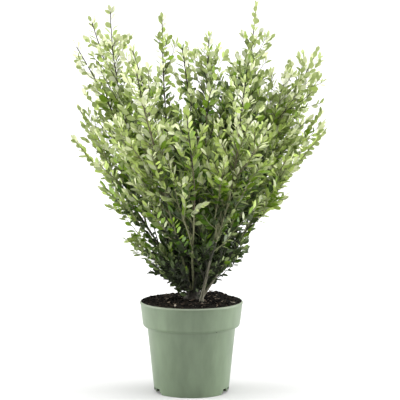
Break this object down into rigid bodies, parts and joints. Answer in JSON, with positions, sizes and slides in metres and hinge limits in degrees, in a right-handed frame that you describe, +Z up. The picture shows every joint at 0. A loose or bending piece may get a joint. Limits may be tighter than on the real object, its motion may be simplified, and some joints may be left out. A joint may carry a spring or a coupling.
{
  "type": "potted japanese holly",
  "caption": "Small-leaved evergreen shrub with many upright shoots, growing in a soil-filled round plastic nursery pot with a collar.",
  "frame": {"origin": "centre of the flat underside of the pot, on the surface that it stands on", "axes": "+Z up, +X to the right and +Y to the back as the picture shows the plant"},
  "size_m": [0.4653, 0.4336, 0.724],
  "materials": {
    "pot": "satin",
    "soil": "matte",
    "bark": "matte",
    "foliage": "satin"
  },
  "bodies": {
    "root": {"pot": "pot", "soil": "soil", "trunk": "bark", "front_stem": "bark", "bough_right_high": "bark", "bough_back_right": "bark", "bough_back": "bark", "bough_back_left": "bark", "bough_left_high": "bark", "bough_left_low": "bark", "bough_front_left": "bark", "bough_front": "bark", "bough_front_right": "bark", "bough_right_low": "bark", "bough_mid_left": "bark", "bough_centre": "bark", "bough_right_spire": "bark", "foliage_right_high": "foliage", "foliage_back_right": "foliage", "foliage_back": "foliage", "foliage_back_left": "foliage", "foliage_left_high": "foliage", "foliage_left_low": "foliage", "foliage_front_left": "foliage", "foliage_front": "foliage", "foliage_front_right": "foliage", "foliage_right_low": "foliage", "foliage_mid_left": "foliage", "foliage_centre": "foliage", "foliage_right_spire": "foliage", "foliage_low_left": "foliage", "foliage_low_front_left": "foliage", "foliage_low_front_right": "foliage", "foliage_low_right": "foliage", "foliage_low_back_right": "foliage", "foliage_low_back_left": "foliage"}
  },
  "joints": []
}
